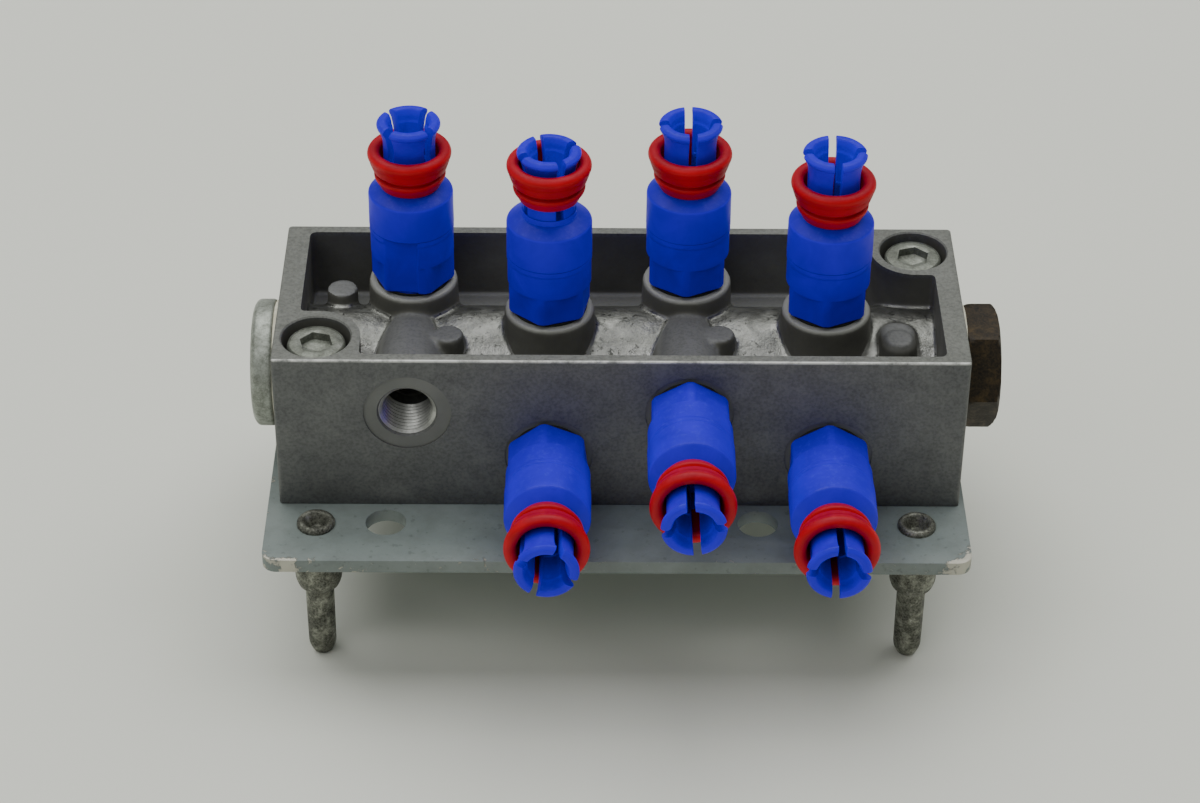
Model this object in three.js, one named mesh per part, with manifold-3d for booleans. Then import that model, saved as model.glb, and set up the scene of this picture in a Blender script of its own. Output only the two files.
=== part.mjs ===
// Aluminium air distributor with staggered G1/8 ports, push-in tube fittings, end plugs and a steel
// base plate on four blind rivets. Millimetres, +Z up, +X along the block, -Y towards the open port.
import * as THREE from "three";
import Module from "manifold-3d";
import { mergeVertices } from "three/addons/utils/BufferGeometryUtils.js";

const wasm = await Module();
wasm.setup();

// Driving dimensions of the block.
const BLOCK = { length: 118, depth: 41, height: 30.7, cornerRadius: 0.8 };
const POCKET = { endWall: 4, sideWall: 1.95, cornerRadius: 1, floor: 18.2 };
const CORE_TOP = 18.4;
const RIM_STEP = 0.06;
const PITCH = 24;
const PORT_COLUMNS = [-36.3, -12.3, 11.7, 35.7];
const GALLERY = { y: 2, z: 14.1, boreRadius: 7.5, endRadius: 8.5, endDepth: 11, humpRadius: 10.2 };
const PORT = { tapRadius: 4.9, spotRadius: 7.5, spotDepth: 0.3, mouthRadius: 5.2, mouthDepth: 0.3 };
const TOP_ROWS = { back: 8.4, front: -0.6 };
const TOP_BOSS = { height: 28.3, radius: 7.75, footRadius: 8.1, edge: 0.7 };
const FRONT_ROWS = { upper: 19.76, lower: 10.74 };
const FRONT_BOSS = { innerRadius: 5.7, outerRadius: 7.1 };
const SCREW_BOSS = { x: 51.8, y: 13.5, radius: 7.55, counterboreRadius: 5.9, counterboreDepth: 7 };
const SCREW_HOLE = 3.3;
const PADS = [
  { x: -48.8, y: 7.7, top: 26.2 },
  { x: -29.8, y: -4.6, top: 25.2 },
  { x: 17.2, y: -4.2, top: 25.2 },
  { x: 48.2, y: -5.4, top: 25.0 },
];
const PAD_RADIUS = 2.65;

// Plate and its fasteners.
const PLATE = { left: -61, right: 60, halfDepth: 36, thickness: 2.5, cornerRadius: 2.5 };
const PLATE_HOLES = [-40.3, 23.8];
const PLATE_HOLE = { radius: 3.5, y: 25.5 };
const RIVET = {
  xLeft: -52.3, xRight: 51.2, y: 26, headRadius: 3.3, headHeight: 1, mouthRadius: 1.7, mouthDepth: 2.2,
  neckRadius: 2.5, holeRadius: 2.65, bulgeRadius: 4.1, bulgeEnd: 10.5, tailRadius: 2.45, tailEnd: 25.8,
};
const SCREW = { headRadius: 5, headHeight: 6, radius: 3, length: 35, socketRadius: 2.9, socketDepth: 3 };
const NUT = { acrossFlats: 10, height: 5, holeRadius: 3.15 };

// Push-in fitting for a 6 mm tube, along its own axis, 0 at the port face and positive outwards.
const FITTING = {
  sealTop: 0.5, flatsTop: 6.05, sleeveStart: 10.4, shoulder: 17.95, top: 19.3,
};
const LABEL = { left: -8, right: 1.8, top: 11.5 };
const FITTING_RADIUS = { flats: 6.5, labelFlat: 6.2, middle: 7.15, sleeve: 7.35, crown: 4.95 };
const CAVITY = { floor: 6.2, radius: 4.95, step: 11.1, mouthRadius: 4.6, passage: 2.5 };
const STEM = { radius: 3.8, socketRadius: 4, top: 4.4, threadRadius: 4.7, threadEnd: -6.2, bore: 2.5 };
const BASE_SEAL = { inner: 4.85, outer: 6.5 };
const TUBE_SEAL = { inner: 3.05, outer: 4.8, height: 2 };
const COLLET = {
  bottom: 9.4, footTop: 10.8, footRadius: 4.8, neckRadius: 4.3, boreRadius: 3.1, flareStart: 28.8, lip: 31.4,
  lipRadius: 5.45, top: 31.9, crest: 5.2, mouthRadius: 3.9, mouthFloor: 30, slotWidth: 1.4, slotBottom: 19.6,
};
const RING = {
  bottom: 19.35, bore: 5.1, foot: 5.5, bead: 5.95, beadHeight: 3.45, groove: 5.45, grooveHeight: 4.5,
  rimBead: 6.15, rimHeight: 6.2, rimBeadRadius: 1.05,
};
const RING_LIFT = 3.25;

// End plugs, along their own axis, 0 at the block face and positive outwards.
const PLUG = { threadRadius: 8.2, threadLength: 9, boreRadius: 5, boreDepth: 6.5 };
const PLUG_SEAL = { inner: 8.4, outer: 11.1, thickness: 1.5 };
const ROUND_HEAD = { radius: 11.2, height: 3.8, edge: 1, socketRadius: 4.6, socketDepth: 5.5 };
const HEX_HEAD = { acrossFlats: 19, cornerRadius: 11, height: 5.9, chamfer: 1.1 };

// Facets of round surfaces: large ones, fittings and small fasteners, and hidden stubs and seals.
const SEGMENTS = 24;
const FITTING_SEGMENTS = 16;
const HIDDEN_SEGMENTS = 12;

const COLOURS = {
  castAluminium: { color: 0x8d8f8c, roughness: 0.55, metalness: 0.75 },
  paint: { color: 0x6f7a76, roughness: 0.5, metalness: 0.1 },
  zinc: { color: 0x8b8e80, roughness: 0.45, metalness: 0.8 },
  wornSteel: { color: 0x54504a, roughness: 0.6, metalness: 0.7 },
  darkBrass: { color: 0x3a2f22, roughness: 0.5, metalness: 0.6 },
  brass: { color: 0xb99a54, roughness: 0.35, metalness: 0.9 },
  bluePlastic: { color: 0x1c3fbd, roughness: 0.45, metalness: 0 },
  redPlastic: { color: 0xbd1010, roughness: 0.4, metalness: 0 },
  creamSeal: { color: 0xd9d3bd, roughness: 0.7, metalness: 0 },
  blackRubber: { color: 0x181818, roughness: 0.85, metalness: 0 },
};

// Solid helpers.
function toSolid(geometry) {
  const bare = geometry.clone();
  bare.deleteAttribute("normal");
  bare.deleteAttribute("uv");
  const merged = mergeVertices(bare, 1e-4);
  return new wasm.Manifold(
    new wasm.Mesh({
      numProp: 3,
      vertProperties: new Float32Array(merged.attributes.position.array),
      triVerts: new Uint32Array(merged.index.array),
    }),
  );
}

function toGeometry(solid) {
  const mesh = solid.getMesh();
  const geometry = new THREE.BufferGeometry();
  geometry.setAttribute("position", new THREE.BufferAttribute(new Float32Array(mesh.vertProperties), 3));
  geometry.setIndex(new THREE.BufferAttribute(new Uint32Array(mesh.triVerts), 1));
  const flat = geometry.toNonIndexed();
  flat.computeVertexNormals();
  return flat;
}

// A turned solid about Z from [radius, z] points that start and end on the axis, or a closed outline.
function turned(outline, segments = SEGMENTS) {
  const points = outline.map(([radius, z]) => new THREE.Vector2(radius, z));
  const first = points[0];
  const last = points[points.length - 1];
  const onAxis = first.x === 0 && last.x === 0;
  if (!onAxis) points.push(first.clone());
  const solid = toSolid(new THREE.LatheGeometry(points, segments).rotateX(Math.PI / 2));
  return solid;
}

function cylinder(radius, bottom, top, segments = SEGMENTS) {
  return turned([[0, bottom], [radius, bottom], [radius, top], [0, top]], segments);
}

function cone(bottomRadius, topRadius, bottom, top, segments = SEGMENTS) {
  return turned([[0, bottom], [bottomRadius, bottom], [topRadius, top], [0, top]], segments);
}

function box(x0, x1, y0, y1, z0, z1) {
  const geometry = new THREE.BoxGeometry(x1 - x0, y1 - y0, z1 - z0);
  return toSolid(geometry.translate((x0 + x1) / 2, (y0 + y1) / 2, (z0 + z1) / 2));
}

function roundedPlate(x0, x1, y0, y1, radius, bottom, top) {
  const shape = new THREE.Shape();
  shape.moveTo(x0 + radius, y0);
  shape.lineTo(x1 - radius, y0);
  shape.absarc(x1 - radius, y0 + radius, radius, -Math.PI / 2, 0, false);
  shape.lineTo(x1, y1 - radius);
  shape.absarc(x1 - radius, y1 - radius, radius, 0, Math.PI / 2, false);
  shape.lineTo(x0 + radius, y1);
  shape.absarc(x0 + radius, y1 - radius, radius, Math.PI / 2, Math.PI, false);
  shape.lineTo(x0, y0 + radius);
  shape.absarc(x0 + radius, y0 + radius, radius, Math.PI, Math.PI * 1.5, false);
  const options = { depth: top - bottom, bevelEnabled: false, curveSegments: 3 };
  return toSolid(new THREE.ExtrudeGeometry(shape, options).translate(0, 0, bottom));
}

function hexPrism(acrossFlats, bottom, top) {
  return cylinder(acrossFlats / Math.sqrt(3), bottom, top, 6);
}

// Points of an arc about [x, y], angles in degrees.
function arc(x, y, radius, from, to, steps) {
  const points = [];
  for (let i = 0; i <= steps; i += 1) {
    const angle = THREE.MathUtils.degToRad(from + ((to - from) * i) / steps);
    points.push([x + radius * Math.cos(angle), y + radius * Math.sin(angle)]);
  }
  return points;
}

// A prism along X whose section is a list of [y, z] points, anticlockwise.
function prismAlongX(section, x0, x1) {
  const shape = new THREE.Shape(section.map(([y, z]) => new THREE.Vector2(y, z)));
  const geometry = new THREE.ExtrudeGeometry(shape, { depth: x1 - x0, bevelEnabled: false });
  const axes = new THREE.Matrix4().makeBasis(
    new THREE.Vector3(0, 1, 0),
    new THREE.Vector3(0, 0, 1),
    new THREE.Vector3(1, 0, 0),
  );
  return toSolid(geometry.applyMatrix4(axes).translate(x0, 0, 0));
}

// A solid made along +Z turned to point along -Y and set on the front face of the block.
function facingFront(solid, x, z) {
  return solid.rotate([90, 0, 0]).translate([x, -BLOCK.depth / 2, z]);
}

// Section of the pocket above its floor and the hump over the gallery.
function pocketSection() {
  const back = BLOCK.depth / 2 - POCKET.sideWall;
  const rise = THREE.MathUtils.radToDeg(Math.asin((POCKET.floor - GALLERY.z) / GALLERY.humpRadius));
  const hump = arc(GALLERY.y, GALLERY.z, GALLERY.humpRadius, 180 - rise, rise, 8);
  return [
    [-back, POCKET.floor],
    ...hump,
    [back, POCKET.floor],
    [back, BLOCK.height + 1],
    [-back, BLOCK.height + 1],
  ];
}

// The upright outline of the pocket, this far clear of its walls.
function pocketInside(clear) {
  const endX = BLOCK.length / 2 - POCKET.endWall - clear;
  const sideY = BLOCK.depth / 2 - POCKET.sideWall - clear;
  return roundedPlate(-endX, endX, -sideY, sideY, POCKET.cornerRadius, 1, BLOCK.height + 2);
}

function topPorts() {
  return PORT_COLUMNS.map((x, i) => ({ x, y: i % 2 === 0 ? TOP_ROWS.back : TOP_ROWS.front }));
}

function frontPorts() {
  return PORT_COLUMNS.map((x, i) => ({ x, z: i % 2 === 0 ? FRONT_ROWS.upper : FRONT_ROWS.lower }));
}

function topBoss({ x, y }) {
  const outline = [
    [0, POCKET.floor - 4],
    [TOP_BOSS.footRadius, POCKET.floor - 4],
    [TOP_BOSS.radius, TOP_BOSS.height - TOP_BOSS.edge],
    [TOP_BOSS.radius - TOP_BOSS.edge / 3, TOP_BOSS.height - TOP_BOSS.edge / 3],
    [TOP_BOSS.radius - TOP_BOSS.edge, TOP_BOSS.height],
    [0, TOP_BOSS.height],
  ];
  return turned(outline).translate([x, y, 0]);
}

// The rounded rib that covers an upper front port, from the front wall back to the top boss.
function frontBoss({ x, z }) {
  const reach = BLOCK.depth / 2 - POCKET.sideWall / 2 + TOP_ROWS.back - TOP_BOSS.radius;
  const rib = cone(FRONT_BOSS.innerRadius, FRONT_BOSS.outerRadius, -reach - 4, -POCKET.sideWall / 2);
  return facingFront(rib, x, z);
}

function screwBoss(side) {
  const reachX = BLOCK.length / 2 - POCKET.endWall / 2;
  const reachY = BLOCK.depth / 2 - POCKET.sideWall / 2;
  const column = cylinder(SCREW_BOSS.radius, 1, BLOCK.height).translate([-SCREW_BOSS.x, -SCREW_BOSS.y, 0]);
  const corner = box(-reachX, -SCREW_BOSS.x, -reachY, SCREW_BOSS.radius - SCREW_BOSS.y, 1, BLOCK.height);
  const web = box(-reachX, SCREW_BOSS.radius - SCREW_BOSS.x, -reachY, -SCREW_BOSS.y, 1, BLOCK.height);
  const boss = column.add(corner).add(web);
  return side < 0 ? boss : boss.rotate([0, 0, 180]);
}

function portBore() {
  return turned([
    [0, -GALLERY.boreRadius - 9],
    [PORT.tapRadius, -GALLERY.boreRadius - 9],
    [PORT.tapRadius, -PORT.mouthDepth - PORT.spotDepth],
    [PORT.mouthRadius, -PORT.spotDepth],
    [PORT.spotRadius, -PORT.spotDepth],
    [PORT.spotRadius, 1],
    [0, 1],
  ]);
}

function topPortBore({ x, y }) {
  const depth = TOP_BOSS.height - GALLERY.z;
  const bore = turned([
    [0, -depth],
    [PORT.tapRadius, -depth],
    [PORT.tapRadius, -PORT.mouthDepth],
    [PORT.mouthRadius, 0],
    [PORT.mouthRadius, 1],
    [0, 1],
  ]);
  return bore.translate([x, y, TOP_BOSS.height]);
}

function galleryBore() {
  const half = BLOCK.length / 2;
  const outline = [
    [0, -half - 1],
    [GALLERY.endRadius, -half - 1],
    [GALLERY.endRadius, -half + GALLERY.endDepth],
    [GALLERY.boreRadius, -half + GALLERY.endDepth],
    [GALLERY.boreRadius, half - GALLERY.endDepth],
    [GALLERY.endRadius, half - GALLERY.endDepth],
    [GALLERY.endRadius, half + 1],
    [0, half + 1],
  ];
  return turned(outline, SEGMENTS).rotate([0, 90, 0]).translate([0, GALLERY.y, GALLERY.z]);
}

function manifoldBlock() {
  const halfLength = BLOCK.length / 2;
  const halfDepth = BLOCK.depth / 2;
  const shell = roundedPlate(
    -halfLength, halfLength, -halfDepth, halfDepth, BLOCK.cornerRadius, 0, BLOCK.height,
  );
  const pocket = prismAlongX(pocketSection(), -halfLength, halfLength).intersect(pocketInside(0));
  let block = shell.subtract(pocket);
  for (const port of topPorts()) block = block.add(topBoss(port));
  for (const port of frontPorts()) {
    if (port.z === FRONT_ROWS.upper) block = block.add(frontBoss(port));
  }
  for (const { x, y, top } of PADS) {
    block = block.add(cone(PAD_RADIUS + 0.25, PAD_RADIUS, POCKET.floor - 6, top, FITTING_SEGMENTS).translate([x, y, 0]));
  }
  for (const side of [-1, 1]) block = block.add(screwBoss(side).intersect(shell));
  for (const side of [-1, 1]) {
    const x = side * SCREW_BOSS.x;
    const y = side * SCREW_BOSS.y;
    const head = cylinder(
      SCREW_BOSS.counterboreRadius, BLOCK.height - SCREW_BOSS.counterboreDepth, BLOCK.height + 1,
    );
    block = block.subtract(head.translate([x, y, 0]));
    block = block.subtract(cylinder(SCREW_HOLE, -1, BLOCK.height, FITTING_SEGMENTS).translate([x, y, 0]));
  }
  block = block.subtract(galleryBore());
  for (const port of topPorts()) block = block.subtract(topPortBore(port));
  for (const { x, z } of frontPorts()) block = block.subtract(facingFront(portBore(), x, z));
  return block;
}

function basePlate() {
  let plate = roundedPlate(
    PLATE.left, PLATE.right, -PLATE.halfDepth, PLATE.halfDepth, PLATE.cornerRadius, -PLATE.thickness, 0,
  );
  const holes = [];
  for (const sideY of [-1, 1]) {
    for (const x of PLATE_HOLES) holes.push([x, sideY * PLATE_HOLE.y, PLATE_HOLE.radius]);
    for (const x of [RIVET.xLeft, RIVET.xRight]) holes.push([x, sideY * RIVET.y, RIVET.holeRadius]);
    holes.push([sideY * SCREW_BOSS.x, sideY * SCREW_BOSS.y, SCREW_HOLE]);
  }
  for (const [x, y, radius] of holes) {
    const drill = cylinder(radius, -PLATE.thickness - 1, 1, FITTING_SEGMENTS);
    plate = plate.subtract(drill.translate([x, y, 0]));
  }
  return plate;
}

// Heights are from the top face of the plate.
function blindRivet() {
  const under = -PLATE.thickness;
  return turned([
    [0, RIVET.headHeight - RIVET.mouthDepth],
    [RIVET.mouthRadius, RIVET.headHeight],
    [RIVET.headRadius - 0.4, RIVET.headHeight],
    [RIVET.headRadius, 0],
    [RIVET.neckRadius, 0],
    [RIVET.neckRadius, under],
    [RIVET.bulgeRadius, under],
    [RIVET.bulgeRadius, under - RIVET.bulgeEnd + 1],
    [RIVET.tailRadius, under - RIVET.bulgeEnd],
    [RIVET.tailRadius, under - RIVET.tailEnd + 1.2],
    [RIVET.tailRadius * 0.5, under - RIVET.tailEnd],
    [0, under - RIVET.tailEnd],
  ].reverse(), HIDDEN_SEGMENTS);
}

// Heights are from the underside of the head.
function capScrew() {
  const body = turned([
    [0, -SCREW.length],
    [SCREW.radius, -SCREW.length],
    [SCREW.radius, 0],
    [SCREW.headRadius, 0],
    [SCREW.headRadius, SCREW.headHeight - 0.5],
    [SCREW.headRadius - 0.5, SCREW.headHeight],
    [0, SCREW.headHeight],
  ], FITTING_SEGMENTS);
  const socketFloor = SCREW.headHeight - SCREW.socketDepth;
  return body.subtract(cylinder(SCREW.socketRadius, socketFloor, SCREW.headHeight + 1, 6));
}

function hexNut() {
  const nut = hexPrism(NUT.acrossFlats, 0, NUT.height);
  return nut.subtract(cylinder(NUT.holeRadius, -1, NUT.height + 1, FITTING_SEGMENTS));
}

// Housing of one fitting: hex base with one longer label flat, round sleeve, conical crown.
function fittingBody() {
  const r = FITTING_RADIUS;
  const round = turned([
    [0, FITTING.sealTop],
    [r.middle, FITTING.sealTop],
    [r.middle, FITTING.sleeveStart],
    [r.sleeve, FITTING.sleeveStart],
    [r.sleeve, FITTING.shoulder],
    [r.crown, FITTING.top],
    [0, FITTING.top],
  ], FITTING_SEGMENTS);
  const flats = hexPrism(r.flats * 2, -1, FITTING.flatsTop).rotate([0, 0, 30]);
  const above = cylinder(r.sleeve + 1, FITTING.flatsTop, FITTING.top + 1, 8);
  const label = box(LABEL.left, LABEL.right, -9, -r.labelFlat, -1, LABEL.top);
  const bore = turned([
    [0, 0],
    [STEM.socketRadius, 0],
    [STEM.socketRadius, STEM.top],
    [CAVITY.passage, STEM.top],
    [CAVITY.passage, CAVITY.floor],
    [CAVITY.radius, CAVITY.floor],
    [CAVITY.radius, CAVITY.step],
    [CAVITY.mouthRadius, CAVITY.step],
    [CAVITY.mouthRadius, FITTING.top + 1],
    [0, FITTING.top + 1],
  ], FITTING_SEGMENTS);
  return round.intersect(flats.add(above)).subtract(label).subtract(bore);
}

function fittingNipple() {
  return turned([
    [STEM.bore, STEM.threadEnd],
    [STEM.threadRadius, STEM.threadEnd],
    [STEM.threadRadius, FITTING.sealTop],
    [STEM.radius, FITTING.sealTop],
    [STEM.radius, STEM.top],
    [STEM.bore, STEM.top],
  ], HIDDEN_SEGMENTS);
}

function ringSolid(inner, outer, bottom, top, segments) {
  return turned([[inner, bottom], [outer, bottom], [outer, top], [inner, top]], segments);
}

function tubeSeal() {
  const { inner, outer, height } = TUBE_SEAL;
  return ringSolid(inner, outer, CAVITY.floor, CAVITY.floor + height, HIDDEN_SEGMENTS);
}

// Four-petal collet that grips the tube, with a flared lip to press on.
function collet() {
  const c = COLLET;
  const round = turned([
    [c.boreRadius, c.bottom],
    [c.footRadius, c.bottom],
    [c.footRadius, c.footTop],
    [c.neckRadius, c.footTop + 0.2],
    [c.neckRadius, c.flareStart],
    [c.lipRadius, c.lip],
    [c.crest, c.top],
    [c.mouthRadius, c.top],
    [c.mouthRadius, c.mouthFloor],
    [c.boreRadius, c.mouthFloor],
  ], FITTING_SEGMENTS);
  const half = c.slotWidth / 2;
  const slotX = box(-8, 8, -half, half, c.slotBottom, c.top + 1);
  const slotY = box(-half, half, -8, 8, c.slotBottom, c.top + 1);
  return round.subtract(slotX).subtract(slotY);
}

// Sliding lock ring with a rounded rim, a second bead below it and a funnel mouth.
function lockRing() {
  const r = RING;
  const z = r.bottom;
  return turned([
    [r.bore, z],
    [r.foot, z],
    [r.bead, z + r.beadHeight],
    [r.groove, z + r.grooveHeight],
    ...arc(r.rimBead, z + r.rimHeight, r.rimBeadRadius, -40, 180, 4),
    [r.bore, z + r.beadHeight],
  ], FITTING_SEGMENTS);
}

function plugStub() {
  return turned([
    [0, -PLUG.threadLength + PLUG.boreDepth],
    [PLUG.boreRadius, -PLUG.threadLength + PLUG.boreDepth],
    [PLUG.boreRadius, -PLUG.threadLength],
    [PLUG.threadRadius, -PLUG.threadLength],
    [PLUG.threadRadius, PLUG_SEAL.thickness + 0.5],
    [0, PLUG_SEAL.thickness + 0.5],
  ]);
}

function roundPlug() {
  const { radius, height, edge, socketRadius, socketDepth } = ROUND_HEAD;
  const bottom = PLUG_SEAL.thickness;
  const top = bottom + height;
  const head = turned([
    [0, bottom], [radius, bottom], ...arc(radius - edge, top - edge, edge, 0, 90, 2), [0, top],
  ]);
  const solidStub = cylinder(PLUG.threadRadius, -PLUG.threadLength, bottom + 0.5);
  const socket = hexPrism(socketRadius * Math.sqrt(3), top - socketDepth, top + 1);
  return head.add(solidStub).subtract(socket);
}

function hexPlug() {
  const { acrossFlats, cornerRadius, height, chamfer } = HEX_HEAD;
  const bottom = PLUG_SEAL.thickness;
  const top = bottom + height;
  const limit = turned([
    [0, bottom], [cornerRadius, bottom], [cornerRadius, top - chamfer * 0.6],
    [cornerRadius - chamfer * 1.3, top], [0, top],
  ]);
  return hexPrism(acrossFlats, bottom, top).intersect(limit).add(plugStub());
}

// Meshes and their places.
function makeMesh(name, solid, material) {
  const mesh = new THREE.Mesh(toGeometry(solid), new THREE.MeshStandardMaterial(COLOURS[material]));
  mesh.name = name;
  return mesh;
}

function place(group, name, solid, material, position = [0, 0, 0]) {
  const mesh = makeMesh(name, solid, material);
  mesh.position.set(...position);
  group.add(mesh);
  return mesh;
}

function addFasteners(group) {
  const seat = BLOCK.height - SCREW_BOSS.counterboreDepth;
  for (const [side, label] of [[-1, "left"], [1, "right"]]) {
    const x = side * SCREW_BOSS.x;
    const y = side * SCREW_BOSS.y;
    place(group, `cap_screw_${label}`, capScrew(), "zinc", [x, y, seat]).rotation.z = 0.3 * side;
    place(group, `screw_nut_${label}`, hexNut(), "zinc", [x, y, -PLATE.thickness - NUT.height]);
  }
  for (const [sideY, row] of [[-1, "front"], [1, "back"]]) {
    place(group, `rivet_${row}_left`, blindRivet(), "wornSteel", [RIVET.xLeft, sideY * RIVET.y, 0]);
    place(group, `rivet_${row}_right`, blindRivet(), "wornSteel", [RIVET.xRight, sideY * RIVET.y, 0]);
  }
}

function addEndPlugs(group) {
  const sides = [
    { label: "left", side: -1, plug: roundPlug(), material: "zinc" },
    { label: "right", side: 1, plug: hexPlug(), material: "darkBrass" },
  ];
  for (const { label, side, plug, material } of sides) {
    const holder = new THREE.Group();
    holder.position.set((side * BLOCK.length) / 2, GALLERY.y, GALLERY.z);
    holder.rotation.y = (side * Math.PI) / 2;
    group.add(holder);
    place(holder, `end_plug_${label}`, plug, material);
    const seal = ringSolid(PLUG_SEAL.inner, PLUG_SEAL.outer, 0, PLUG_SEAL.thickness, SEGMENTS);
    place(holder, `end_plug_${label}_seal`, seal, "creamSeal");
  }
}

function addFitting(group, { label, position, facing, bodyTurn, colletTurn, ringLift }) {
  const holder = new THREE.Group();
  holder.position.set(...position);
  if (facing === "front") holder.rotation.x = Math.PI / 2;
  group.add(holder);
  const turn = THREE.MathUtils.degToRad;
  place(holder, `${label}_body`, fittingBody(), "bluePlastic").rotation.z = turn(bodyTurn);
  place(holder, `${label}_nipple`, fittingNipple(), "brass");
  const baseSeal = ringSolid(BASE_SEAL.inner, BASE_SEAL.outer, 0, FITTING.sealTop, HIDDEN_SEGMENTS);
  place(holder, `${label}_base_seal`, baseSeal, "blackRubber");
  place(holder, `${label}_tube_seal`, tubeSeal(), "blackRubber");
  place(holder, `${label}_collet`, collet(), "bluePlastic").rotation.z = turn(colletTurn);
  place(holder, `${label}_lock_ring`, lockRing(), "redPlastic", [0, 0, ringLift]);
}

// Turns are in degrees about each fitting's own axis, as the loose pieces happen to sit.
function addFittings(group) {
  const topTurns = [[-6, 48], [139, 25], [147, 4], [146, 3]];
  topPorts().forEach(({ x, y }, i) => {
    const [bodyTurn, colletTurn] = topTurns[i];
    addFitting(group, {
      label: `top_${i + 1}`, position: [x, y, TOP_BOSS.height], facing: "top",
      bodyTurn, colletTurn, ringLift: i === 1 ? RING_LIFT : 0,
    });
  });
  const frontTurns = [null, [37, -26], [30, 8], [30, -4]];
  frontPorts().forEach(({ x, z }, i) => {
    if (!frontTurns[i]) return;
    const [bodyTurn, colletTurn] = frontTurns[i];
    addFitting(group, {
      label: `front_${i + 1}`, position: [x, -BLOCK.depth / 2 + PORT.spotDepth, z], facing: "front",
      bodyTurn, colletTurn, ringLift: 0,
    });
  });
}

function airDistributor() {
  const group = new THREE.Group();
  // One casting in three bodies that meet face to face: core, rim walls and the bosses inside them.
  const [tray, core] = manifoldBlock().splitByPlane([0, 0, 1], CORE_TOP);
  place(group, "manifold_block", core, "castAluminium");
  place(group, "block_rim", tray.subtract(pocketInside(RIM_STEP)).simplify(0.01), "castAluminium");
  place(group, "block_bosses", tray.intersect(pocketInside(RIM_STEP)).simplify(0.01), "castAluminium");
  place(group, "base_plate", basePlate(), "paint");
  addFasteners(group);
  addEndPlugs(group);
  addFittings(group);
  // The frame's origin is the middle of the underside of the whole object's box.
  const bounds = new THREE.Box3().setFromObject(group);
  const middle = bounds.getCenter(new THREE.Vector3());
  group.position.set(-middle.x, -middle.y, -bounds.min.z);
  return group;
}

export default airDistributor();
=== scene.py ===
"""Looks of the pneumatic distributor block: cast block, painted plate, push-in fittings, plugs and screws."""

import math

import bmesh
import bpy
from mathutils import Matrix, Vector

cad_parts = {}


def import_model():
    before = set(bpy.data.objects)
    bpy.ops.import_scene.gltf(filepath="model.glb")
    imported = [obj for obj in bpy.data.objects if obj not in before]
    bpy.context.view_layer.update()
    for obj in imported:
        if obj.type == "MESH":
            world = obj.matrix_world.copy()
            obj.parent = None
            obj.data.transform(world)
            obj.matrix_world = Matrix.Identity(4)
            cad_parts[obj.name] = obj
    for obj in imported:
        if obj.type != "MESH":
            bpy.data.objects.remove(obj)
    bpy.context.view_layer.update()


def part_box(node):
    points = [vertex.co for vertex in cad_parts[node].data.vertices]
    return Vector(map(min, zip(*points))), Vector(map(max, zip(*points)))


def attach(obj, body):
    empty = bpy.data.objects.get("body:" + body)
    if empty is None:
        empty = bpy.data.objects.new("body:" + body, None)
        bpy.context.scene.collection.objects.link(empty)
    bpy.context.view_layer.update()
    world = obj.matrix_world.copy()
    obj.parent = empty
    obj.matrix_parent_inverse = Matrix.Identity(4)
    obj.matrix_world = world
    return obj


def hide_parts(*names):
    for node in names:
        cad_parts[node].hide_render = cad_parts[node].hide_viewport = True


MM = 0.001

# Camera, measured from the block: azimuth and elevation in degrees, distances in millimetres.
CAMERA = {
    "azimuth": -0.39,
    "elevation": 36.54,
    "roll": 0.505,
    "distance": 555.2,
    "target": (-3.4, 0.0, 7.23),
    "lens": 93.77,
}

# Block, in millimetres from the middle of its underside.
BLOCK = {"length": 118.0, "depth": 41.0, "height": 30.7}
POCKET = {"end_wall": 4.0, "side_wall": 1.95, "corner": 1.0, "ledge": 17.5}
# How far the rough casting stands past its machined outside.
SPARE = 1.6
GALLERY = {"y": 2.0, "z": 14.1, "bore": 7.5, "end": 8.5, "end_depth": 11.0, "hump": 10.2}
TOP_BOSS = {"height": 28.3, "radius": 7.75, "foot": 8.2, "edge": 0.8}
FRONT_BOSS = {"inner": 5.7, "outer": 7.1}
SCREW_BOSS = {"x": 51.8, "y": 13.5, "radius": 7.55, "counterbore": 5.9, "depth": 7.0, "hole": 3.3}
PORT = {"tap": 4.9, "spot": 7.5, "spot_depth": 0.3, "mouth": 5.2, "mouth_depth": 0.35, "depth": 16.0}
# Pads in the tray: x, y, top and radius.
PADS = (
    (-48.8, 7.7, 26.2, 2.65),
    (-29.8, -4.6, 25.2, 2.65),
    (17.2, -4.2, 25.2, 2.65),
    (48.2, -5.4, 25.3, 2.35),
)
REAR_RIB = {"x": 48.2, "front": -5.4, "back": -2.6, "radius": 3.15, "top": 24.8}
VOXEL = 0.42
THREAD_PITCH = 0.907

# Plate, and its holes from the middle of the block, in millimetres.
PLATE = {
    "corner": 2.5, "edge": 0.35, "rivet_hole": 2.65, "hole": 3.5, "hole_x": (-40.3, 23.8), "hole_y": 25.5,
}
SCREW = {"head": 5.0, "key": 2.5, "shank": 3.0, "under_head": -6.0, "end": -41.0}

# One fitting, in millimetres outwards from its port face.
FITTING_SEGMENTS = 144
BODY = {"bottom": 0.5, "flats_top": 6.05, "label_top": 11.5, "sleeve": 10.4, "seam": 11.6, "shoulder": 17.95}
BODY_RADIUS = {"flat": 6.5, "middle": 7.22, "sleeve": 7.32, "crown": 4.95, "nose": 4.62, "mouth": 4.5}
CROWN_TOP = 19.3
NOSE_TOP = 20.35
LABEL = {"right": 1.8, "distance": 6.2}
RING_GAP = 0.05
COLLET = {"neck": 4.45, "bore": 3.1, "slot": 1.4, "slot_bottom": 16.0, "bottom": 9.4, "top": 31.9}


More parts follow.
